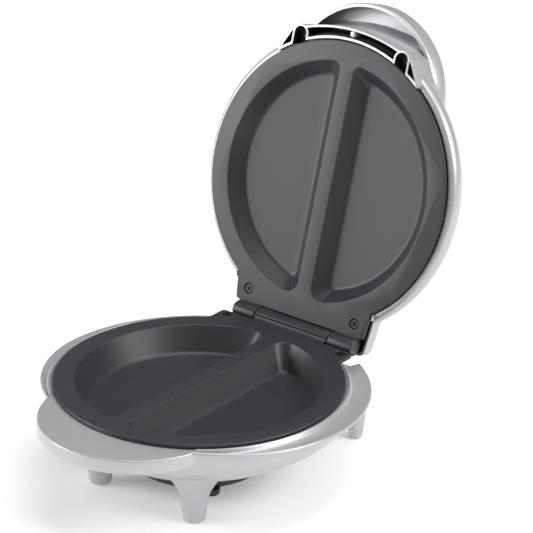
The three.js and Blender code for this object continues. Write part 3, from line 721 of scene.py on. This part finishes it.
head_r = given.outputs["Head radius"]
head_d = given.outputs["Head depth"]
shank_r = given.outputs["Shank radius"]
length = given.outputs["Length"]
shank_base = add(
    "ShaderNodeMath", {0: product(length, -1), 1: product(head_d, 0.6)}, operation="SUBTRACT"
).outputs[0]
parts = [
    frustum(head_r, product(head_r, 0.86), product(head_d, 0.22), product(head_d, -0.22)),
    frustum(shank_r, head_r, product(head_d, 0.80), product(head_d, -1.0)),
    frustum(shank_r, shank_r, length, shank_base),
]
whole = add("GeometryNodeMeshBoolean", operation="UNION", solver="MANIFOLD")
for part in parts:
    screw_tree.links.new(part.outputs[0], whole.inputs[1])
crossed = add("GeometryNodeMeshBoolean", {0: whole.outputs[0]}, operation="DIFFERENCE", solver="MANIFOLD")
for long_side, short_side in (("X", "Y"), ("Y", "X")):
    size = add("ShaderNodeCombineXYZ", {
        long_side: product(head_r, 1.15), short_side: product(head_r, 0.24),
        "Z": product(given.outputs["Slot depth"], 2),
    })
    arm = add("GeometryNodeMeshCube", {"Size": size.outputs[0]})
    screw_tree.links.new(arm.outputs["Mesh"], crossed.inputs[1])
set_out = add("GeometryNodeInstanceOnPoints", {
    "Points": given.outputs["Geometry"], "Instance": crossed.outputs[0],
    "Rotation": given.outputs["Facing"],
})


def finish_tree(instances):
    """Ends the tree being built: real geometry, in the finish that was given."""
    plain = add("GeometryNodeRealizeInstances", {"Geometry": instances.outputs[0]})
    dressed = add("GeometryNodeSetMaterial", {
        "Geometry": plain.outputs[0], "Material": given.outputs["Finish"],
    })
    add("NodeGroupOutput", {"Geometry": dressed.outputs[0]})


finish_tree(set_out)


def screws(points, head, depth, shank, length, slot_depth, facing):
    """Set of like screws with their head tops on the points."""
    return made_by(screw_tree, points, {
        "Head radius": head, "Head depth": depth, "Shank radius": shank, "Length": length,
        "Slot depth": slot_depth, "Facing": facing, "Finish": dark_steel,
    })


FACING_UP = (0, 0, 0.6)
FACING_DOWN = (math.pi, 0, 0.4)
cover_screws = screws([(x, y, COVER_Z + 0.4) for x, y in screw_spots], 3.5, 2.0, 1.6, 9, 1.1, FACING_DOWN)
piece("cover_screws", cover_screws, ON_BASE, "base", dark_steel,
      [f"cover_screw_{i}" for i in (1, 2, 3)])
plate_screws = screws([(x, y, -0.6) for x, y in SCREW_AT], 3.6, 2.4, 1.7, 6.6, 1.3, FACING_UP)
piece("lower_plate_screws", plate_screws, ON_BASE, "base", dark_steel,
      ["lower_plate_screw_left", "lower_plate_screw_right"])

pad_tree = tree_with("foot_pad", [
    ("Depth", FLOAT), ("Edge share", FLOAT), ("Finish", "NodeSocketMaterial"),
])
add = node_maker(pad_tree)
given = add("NodeGroupInput")
depth = given.outputs["Depth"]
edge_r = add(
    "ShaderNodeMath", {0: 1.0, 1: given.outputs["Edge share"]}, operation="SUBTRACT"
).outputs[0]
tread = add("GeometryNodeMeshCone", {
    "Vertices": 48, "Radius Bottom": edge_r, "Radius Top": 1.0, "Depth": product(depth, 0.25),
})
plug_base = add("ShaderNodeCombineXYZ", {"Z": product(depth, 0.2)})
plug = add("GeometryNodeMeshCone", {
    "Vertices": 48, "Radius Bottom": 1.0, "Radius Top": 1.0, "Depth": product(depth, 0.8),
})
raised = add("GeometryNodeTransform", {
    "Geometry": plug.outputs["Mesh"], "Translation": plug_base.outputs[0],
})
pad_shape = add("GeometryNodeMeshBoolean", operation="UNION", solver="MANIFOLD")
for part in (tread.outputs["Mesh"], raised.outputs[0]):
    pad_tree.links.new(part, pad_shape.inputs[1])
spread = add("GeometryNodeInputPosition")
reach_x = add("ShaderNodeSeparateXYZ", {0: spread.outputs[0]})
is_rear = add("ShaderNodeMath", {0: reach_x.outputs["Y"], 1: 0.0}, operation="GREATER_THAN")
pad_r = add("ShaderNodeMapRange", {
    "Value": is_rear.outputs[0], "To Min": FRONT_PAD_R, "To Max": REAR_PAD_R,
})
pad_scale = add("ShaderNodeCombineXYZ", {"X": pad_r.outputs[0], "Y": pad_r.outputs[0], "Z": 1.0})
finish_tree(add("GeometryNodeInstanceOnPoints", {
    "Points": given.outputs["Geometry"], "Instance": pad_shape.outputs[0], "Scale": pad_scale.outputs[0],
}))
PAD_STANDS_OUT = 0.8
pads = made_by(
    pad_tree, [(x, y, FOOT_BOTTOM - PAD_STANDS_OUT) for x, y, _ in pad_spots],
    {"Depth": 2.3, "Edge share": 0.12, "Finish": rubber},
)
piece("foot_pads", pads, ON_BASE, "base", rubber,
      ["foot_pad_" + place for place in ("front_left", "front_right", "rear_left", "rear_right")])

# --- Upper casing -------------------------------------------------------------------------------
# The lid's silver moulding: a domed cover, a front body with a thin outer and inner wall, a handle
# that is hollow underneath, and a box at the hinge. Only its outer faces are painted; the slot
# between the walls and the two screw recesses show the black plastic.
LID_GAP = 1.7
DOME = [
    (105.3, 5.1), (107.6, 6.4), (109, 10.5), (107.6, 16.4), (102.6, 24), (92.6, 31), (76, 36.4),
    (46, 40), (12, 41.1), (1, 41.2),
]
DOME_ROOM = [
    (103.5, 5), (103.9, 6.4), (106.4, 10.6), (105.2, 15.8), (100.6, 22.6), (91, 29.2), (75, 34.2),
    (45.6, 37.7), (12, 38.8),
]
FRONT_WALL_R = 134.5
FRONT_WALL_Y = -113
LID_HANDLE_Y = -66
LENS_R = 3.4
LENS_AT = [(-9, -72), (9, -72)]
BOSS_R = 5.4
BOSS_AT = [(-45, -100), (45, -100)]
PEG_Y = -108.9


def front_outline(inset):
    """Outline of the lid's front body: a flat arc and two corners that run back to the dome."""
    x = np.linspace(-54, 54, 41)
    y = FRONT_WALL_Y + FRONT_WALL_R - np.sqrt(FRONT_WALL_R**2 - x**2)
    return shrunk(rounded([*zip(x, y), (64.5, -82), (-64.5, -82)], 3), inset)


def at_height(outline, z):
    """Outline as a level ring."""
    return np.column_stack((outline, np.full(len(outline), z)))


def boss_outline(x, y, r):
    """U-shaped outline of a screw recess, open towards the plate."""
    turn = np.linspace(math.pi, 2 * math.pi, 21)
    return [*zip(x + r * np.cos(turn), y + r * np.sin(turn)), (x + r, -88), (x - r, -88)]


def handle_ring(across, z):
    """Outline of the lid handle, flattened a little in front."""
    turn = np.linspace(0, 2 * np.pi, 160, endpoint=False)
    along_y = min(across, 65.2) * np.sin(turn)
    return np.column_stack((across * np.cos(turn), LID_HANDLE_Y + along_y, np.full(160, z)))


def neck_ring(dome_r, handle_r, z):
    """Outline round the dome's circle and the handle's circle together."""
    turn = np.linspace(0, 2 * np.pi, 240, endpoint=False)
    facing = np.column_stack((np.cos(turn), np.sin(turn)))
    on_handle = LID_HANDLE_Y * facing[:, 1] + handle_r > dome_r
    flat = np.where(on_handle[:, None], facing * handle_r + (0, LID_HANDLE_Y), facing * dome_r)
    return np.column_stack((flat, np.full(240, z)))


dome_curve = swept(DOME)
room_curve = swept(DOME_ROOM)
dome = skin([ring(105.0, 5.12, count=192), *[ring(r, z, count=192) for r, z in dome_curve]])
dome_room = skin([ring(r, z, count=192) for r, z in [(103.9, -2), (103.9, 4.9), *room_curve]])
front_body = slab(front_outline(0), 0.4, 24, low_edge=0.35, steps=2)
handle_curve = swept([
    (64.8, 22.9), (66.2, 26), (67.3, 30), (67.4, 33.5), (66, 37), (62.5, 39.4), (56, 40.6), (40.4, 41.2),
    (20, 41.25),
])
handle_curve = [(64.2, 22.5), (64.55, 22.6)] + handle_curve
lid_handle = skin([handle_ring(r, z) for r, z in handle_curve])
hollow_curve = swept([
    (62.4, 22.6), (63.6, 26), (64.7, 30), (64.7, 33), (63.2, 36), (59.8, 37.8), (53.4, 38.6), (40, 38.8),
])
handle_room = skin([handle_ring(r, z) for r, z in [(62.2, 15), *hollow_curve]])
wall_lean = [at_height(front_outline(inset), z) for inset, z in ((0, -2), (0, 22), (-4, 42))]
handle_room = fitted(handle_room, cut=[skin(wall_lean), turned([(110.4, 0), (110.4, 42)], count=192)])
neck_curve = swept([
    (104.4, 60, 18), (102.5, 62, 22.5), (99, 62.4, 26), (93, 62.6, 30), (84.4, 62.6, 33.5),
    (69, 61, 37), (49, 57.6, 39.2), (32, 50, 40.3),
])
neck = skin([neck_ring(*level) for level in neck_curve])
BOX_TAPER = 6.4
BOX_WALL = 1.5
lid_box_curve = [(58.3, 115.8, 2.2), (58.6, 116.1, 2.35), (58.7, 116.2, 2.7), (58.7, 116.2, 13.5)]
lid_box_curve += swept([(58.7, 116.2, 15), (57.9, 114.8, 18.4), (55.9, 111.6, 21.4), (49.7, 104.2, 24)])
lid_box = skin(box_rings(lid_box_curve, 5, taper=BOX_TAPER))
box_room = [(58.7, 116.2, 7), (58.7, 116.2, 15), (56.7, 113.2, 20.5), (49.7, 104.2, 24)]
box_room = skin(box_rings(box_room, 5, BOX_WALL, -1.4, BOX_TAPER))
tab_room = slab([(-63.6, 70), (63.6, 70), (57.5, 125), (-57.5, 125)], -2, 7)
slot = fitted(
    skin([at_height(front_outline(1.7), -1), at_height(front_outline(1.9), 17)]),
    cut=[
        turned([(105.7, -2), (105.7, 20)], count=192),
        skin([ring(r + 0.2, z - 0.2, count=192) for r, z in dome_curve]),
    ],
)


bosses = []
recesses = []
for x, y in BOSS_AT:
    bosses.append(fitted(
        slab(boss_outline(x, y, BOSS_R + 1.5), 0.4, 18, low_edge=0.3, high_edge=1.5, steps=3),
        cut=[turned([(103.9, -2), (103.9, 30)], count=192)]))
    recesses.append(fitted(
        slab(boss_outline(x, y, BOSS_R), -1, 9), cut=[turned([(103.9, -2), (103.9, 20)], count=192)]))
peg = turned([(1.9, 0.6), (2.2, 0.75), (2.3, 1.1), (2.3, 17.5)], 0, PEG_Y, 36)
lens_seat = [(LENS_R + GAP, 25), (LENS_R + GAP, 36.3), (LENS_R + 1.9, 38.0), (LENS_R + 1.9, 44)]
lid_shell = fitted(
    dome,
    joined=[front_body, lid_handle, neck, lid_box],
    cut=[dome_room, handle_room, slot, box_room, tab_room],
)
lid_shell = fitted(lid_shell, joined=[*bosses, peg])
lid_shell = fitted(
    lid_shell,
    cut=[
        *recesses,
        *[turned([(1.8, 5), (1.8, 16)], x, y, 24) for x, y in BOSS_AT],
        *[turned(lens_seat, x, y, 48) for x, y in LENS_AT],
    ],
)


def within(outline, x, y):
    """Whether a point lies inside a flat outline."""
    ahead = np.roll(outline, -1, 0)
    spans = (outline[:, 1] > y) != (ahead[:, 1] > y)
    start, end = outline[spans], ahead[spans]
    run = (end[:, 0] - start[:, 0]) * (y - start[:, 1]) / (end[:, 1] - start[:, 1])
    return np.count_nonzero(x < start[:, 0] + run) % 2 == 1


slot_edge = front_outline(1.2)
room_r, room_z = zip(*room_curve)
BOX_ROOM_Z = (13.6, 19.1, 22.6)
BOX_ROOM_HALF = (58.7, 56.7, 49.7)
BOX_ROOM_REAR = (116.2, 113.2, 104.2)
NEAR = 0.2
BLACK = 1
corners = np.array([v.co[:] for v in lid_shell.data.vertices])
for face in lid_shell.data.polygons:
    x, y, z = corners[list(face.vertices)].T
    r = np.hypot(x, y)
    off_peg = np.hypot(x, y - PEG_Y).max() > 2.5
    in_slot = z.max() < 17.3 and r.min() > 105.4 and off_peg and within(slot_edge, x.mean(), y.mean())
    aside = np.abs(np.abs(x) - BOSS_AT[1][0])
    rounded_end = np.hypot(aside, y - BOSS_AT[1][1]) < BOSS_R + 0.1
    in_walls = (aside < BOSS_R + 0.1) & ((y > BOSS_AT[1][1] - 0.1) | rounded_end)
    in_recess = z.max() < 9.3 and y.max() < -87 and in_walls.all()
    in_dome = z.max() < 38.9 and (r < np.interp(z, room_z, room_r) + NEAR).all()
    box_half = np.interp(z, BOX_ROOM_Z, BOX_ROOM_HALF) - BOX_WALL + NEAR
    box_rear = np.interp(z, BOX_ROOM_Z, BOX_ROOM_REAR) - BOX_WALL + NEAR
    box_half += BOX_TAPER * (box_rear - y) / (box_rear - 60)
    in_box = y.min() > 70 and z.max() < 22.9 and ((y < box_rear) & (np.abs(x) < box_half)).all()
    if z.max() > 1.2 and (in_slot or in_recess or in_dome or in_box):
        face.material_index = BLACK
piece("upper_casing_shell", lid_shell, ON_LID, "lid", [silver_paint, black_plastic],
      ["upper_casing", "lid_handle"])

# --- Upper plate --------------------------------------------------------------------------------
# The second casting, face down in the lid: two shallow half-moon wells, a tapered tab, and the two
# outer knuckles that straddle the lower plate's.
UPPER_WELL = 9.7
upper_tab = [(-61, 80), (61, 80), (58.1, 103.2), (-58.1, 103.2)]
upper_plate = cast_plate(UPPER_WELL, upper_tab)
upper_plate.data.transform(Matrix.Rotation(math.pi, 4, "Y"))
moved(upper_plate, 0, 0, LID_GAP)
seats = [screw_seat(x, y) for x, y in LID_SCREW_AT]
for seat in seats:
    seat.data.transform(Matrix.Translation((0, 0, LID_GAP)) @ Matrix.Rotation(math.pi, 4, "Y"))
upper_plate = fitted(
    upper_plate,
    joined=[
        oblong(-54.5, -34.2, TAB_Y - 2, HINGE_Y, LID_GAP, LID_GAP + PLATE_T),
        oblong(34.2, 54.5, TAB_Y - 2, HINGE_Y, LID_GAP, LID_GAP + PLATE_T),
        knuckle(-55, -MIDDLE_HALF - 0.7, soft0=3.2),
        knuckle(MIDDLE_HALF + 0.7, 55, soft1=0.9),
    ],
    cut=[bore(-53.4, 53.4), *seats],
)
piece("upper_plate_cast", upper_plate, ON_LID, "lid", nonstick, ["upper_plate"])

# --- Lid screws and lamps -------------------------------------------------------------------------
# Two screws hold the plate's tab and two hold the handle from inside its recesses. The lamps are
# a red and a green button of clear plastic that stand a little out of the dome.
tab_spots = [(x, y, LID_GAP + 0.6) for x, y in LID_SCREW_AT]
tab_screws = screws(tab_spots, 3.6, 2.4, 1.7, 6.6, 1.3, FACING_DOWN)
piece("upper_plate_screws", tab_screws, ON_LID, "lid", dark_steel,
      ["upper_plate_screw_left", "upper_plate_screw_right"])
handle_screws = screws([(x, y, 6.8) for x, y in BOSS_AT], 3.0, 1.8, 1.5, 4.6, 1.0, FACING_DOWN)
piece("lid_handle_screws", handle_screws, ON_LID, "lid", dark_steel,
      ["handle_screw_left", "handle_screw_right"])
lens_curve = [(0.5, 30.2), (LENS_R + 1.6, 30.2), (LENS_R + 1.6, 31.8), (LENS_R, 31.8), (LENS_R, 37.1)]
lens_curve += [(LENS_R * math.cos(a), 37.1 + 1.1 * math.sin(a)) for a in np.linspace(0.2, 1.5, 8)]
for (x, y), name, node, slot_name, shade, dark in (
    (LENS_AT[0], "power_lamp_lens", "power_lens", "red_lens",
     (0.62, 0.012, 0.01), (0.50, 0.008, 0.008)),
    (LENS_AT[1], "ready_lamp_lens", "ready_lens", "green_lens",
     (0.01, 0.40, 0.07), (0.008, 0.30, 0.05)),
):
    clear = coating(name + "_plastic", plain_grain, 1.2, shade, dark, (0.10, 0.18), 0.004, coat=0.4)
    piece(name, turned(lens_curve, x, y, 48), ON_LID, "lid", clear, [node])

# --- Working parts inside -------------------------------------------------------------------------
# Heating tubes with their straps and steel trays, the hinge pin, the thermostat, fuses, terminal
# block and lamp holder keep their own shapes and take their finishes here.
brushed_grain = grain_group("drawn_metal_grain", (1, 1, 0.08), 0.35, False)
steel = coating(
    "drawn_steel", brushed_grain, 0.5, (0.50, 0.50, 0.51), (0.36, 0.36, 0.37),
    (0.25, 0.42), 0.008, metallic=1.0,
)
ceramic = coating(
    "glazed_ceramic", plain_grain, 0.8, (0.80, 0.77, 0.69), (0.70, 0.67, 0.58),
    (0.30, 0.5), 0.02, coat=0.2,
)
INSIDE = {
    "element": steel, "shield": steel, "clamp": steel, "hinge_pin": steel,
    "thermostat": ceramic, "fuse": ceramic, "terminal": ceramic, "lamp_holder": black_plastic,
}
for name, node in frame["nodes"].items():
    for part_name, finish in INSIDE.items():
        if part_name in name:
            for material_slot in node.material_slots:
                material_slot.material = finish

# --- Floor and light ------------------------------------------------------------------------------
# Plain pale floor under the feet, three soft boxes and a bright even surround.
bed = bmesh.new()
bmesh.ops.create_grid(bed, x_segments=8, y_segments=8, size=6)
floor_mesh = bpy.data.meshes.new("floor")
bed.to_mesh(floor_mesh)
bed.free()
floor = scene_object("floor", floor_mesh)
floor.location.z = cad_box[0].z
floor_paint = coating(
    "pale_floor", plain_grain, 3, (0.95, 0.95, 0.95), (0.93, 0.93, 0.93), (0.75, 0.85), 0.02,
)
floor_shader = floor_paint.node_tree.nodes["Principled BSDF"]
floor_shader.inputs["Emission Color"].default_value = (1, 1, 1, 1)
floor_shader.inputs["Emission Strength"].default_value = 0.22
floor.data.materials.append(floor_paint)

surround = bpy.data.worlds.new("surround")
surround.use_nodes = True
surround.node_tree.nodes["Background"].inputs["Color"].default_value = (1, 1, 1, 1)
surround.node_tree.nodes["Background"].inputs["Strength"].default_value = 0.22
bpy.context.scene.world = surround
bpy.context.scene.view_settings.view_transform = "Standard"
aim = Vector((0, 0.02, 0.14))
for name, at, size, watts in (
    ("front_left_box", (-2.0, -1.7, 0.8), 1.4, 48),
    ("top_box", (0.1, 0.4, 2.4), 1.8, 32),
    ("right_box", (2.0, 0.5, 1.6), 1.4, 42),
):
    box_data = bpy.data.lights.new(name, "AREA")
    box_data.size = size
    box_data.energy = watts
    soft_box = bpy.data.objects.new(name, box_data)
    facing = (aim - Vector(at)).to_track_quat("-Z", "Y").to_matrix().to_4x4()
    soft_box.matrix_world = Matrix.Translation(at) @ facing
    bpy.context.scene.collection.objects.link(soft_box)
